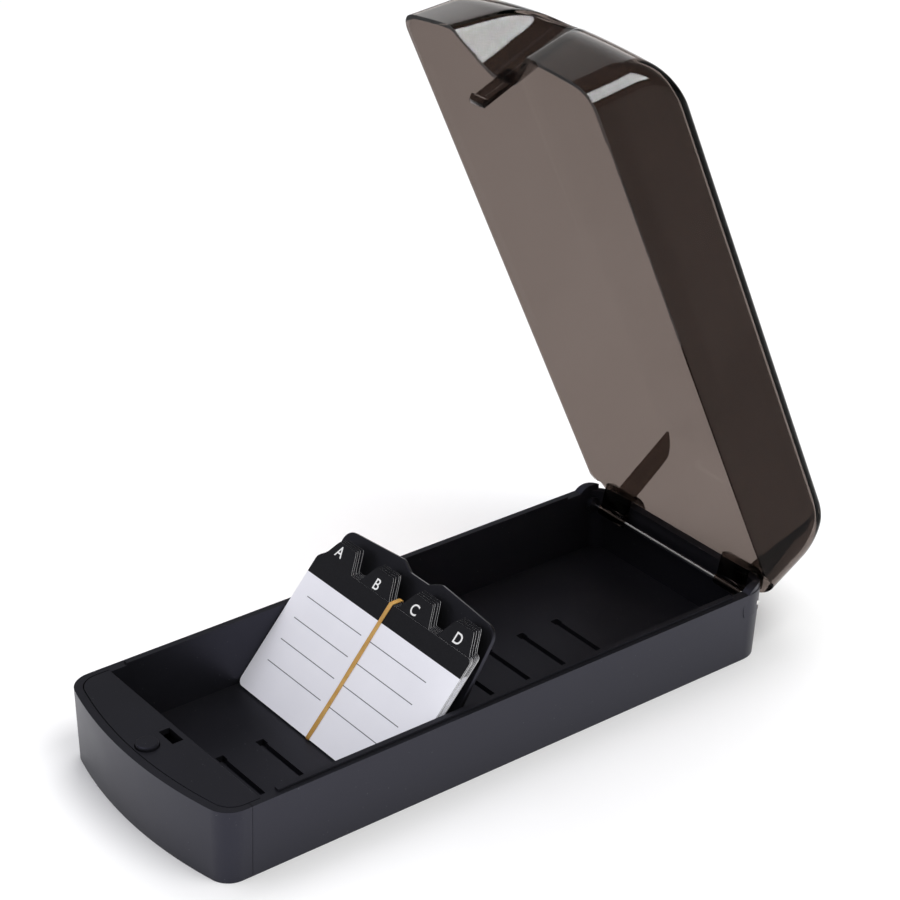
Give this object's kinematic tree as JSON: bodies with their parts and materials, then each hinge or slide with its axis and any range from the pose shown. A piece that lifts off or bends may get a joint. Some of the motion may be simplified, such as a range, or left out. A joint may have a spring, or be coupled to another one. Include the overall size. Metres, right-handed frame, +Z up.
{
  "type": "card tray",
  "caption": "Low bow-fronted card tray with a hinged smoke lid, push-button latch, leaning follower plate and a banded set of tabbed index guides.",
  "frame": {"origin": "on the middle line of the flat underside of the tray, 139 mm ahead of its back", "axes": "+Z up, front of the tray towards -Y, +X to the right of someone facing +Y; the lid is stored open"},
  "size_m": [0.112, 0.3087, 0.2763],
  "materials": {
    "tray_plastic": "satin moulded black",
    "follower_plastic": "satin moulded black",
    "smoke_lid": "clear smoke-tinted styrene, polished",
    "rod_steel": "bright drawn wire",
    "spring_steel": "plain steel",
    "card_stock": "smooth white card with printed lines and a black header",
    "rubber_band": "natural rubber"
  },
  "bodies": {
    "tray": {"tray_shell": "tray_plastic", "front_cover": "tray_plastic", "latch_deck": "tray_plastic", "deck_screws": "spring_steel", "cover_screws": "spring_steel", "button_spring": "spring_steel", "hinge_rod": "rod_steel", "hinge_collar_left": "tray_plastic", "hinge_collar_right": "tray_plastic"},
    "lid": {"lid_shell": "smoke_lid"},
    "button": {"release_button": "tray_plastic"},
    "latch": {"latch_slide": "tray_plastic"},
    "follower": {"follower_plate": "follower_plastic"},
    "guides": {"index_guide_01": "card_stock", "index_guide_02": "card_stock", "index_guide_03": "card_stock", "index_guide_04": "card_stock", "index_guide_05": "card_stock", "index_guide_06": "card_stock", "index_guide_07": "card_stock", "index_guide_08": "card_stock", "index_guide_09": "card_stock", "index_guide_10": "card_stock", "index_guide_11": "card_stock", "index_guide_12": "card_stock", "index_guide_13": "card_stock", "index_guide_14": "card_stock", "index_guide_15": "card_stock", "index_guide_16": "card_stock", "rubber_band": "rubber_band"}
  },
  "joints": [
    {"name": "lid_hinge", "type": "hinge", "parent": "tray", "child": "lid", "pos_m": [0, 0.132, 0.0255], "axis": [1, 0, 0], "range_deg": [0, 66]},
    {"name": "button_press", "type": "slide", "parent": "tray", "child": "button", "axis": [0, 0, -1], "range_m": [0, 0.0014], "stiffness_N_per_m": 400, "springref_m": -0.001, "deforming": ["button_spring"]},
    {"name": "latch_travel", "type": "slide", "parent": "tray", "child": "latch", "axis": [0, -1, 0], "range_m": [0, 0.0014]},
    {"name": "follower_lift", "type": "slide", "parent": "tray", "child": "follower", "axis": [0, 0.5314, 0.8471], "range_m": [0, 0.006]},
    {"name": "guides_tip", "type": "hinge", "parent": "tray", "child": "guides", "pos_m": [0, -0.056, 0.00472], "axis": [1, 0, 0], "range_deg": [0, 8]}
  ],
  "couplings": [
    {"joint": "latch_travel", "follows": "button_press", "ratio": 1}
  ]
}
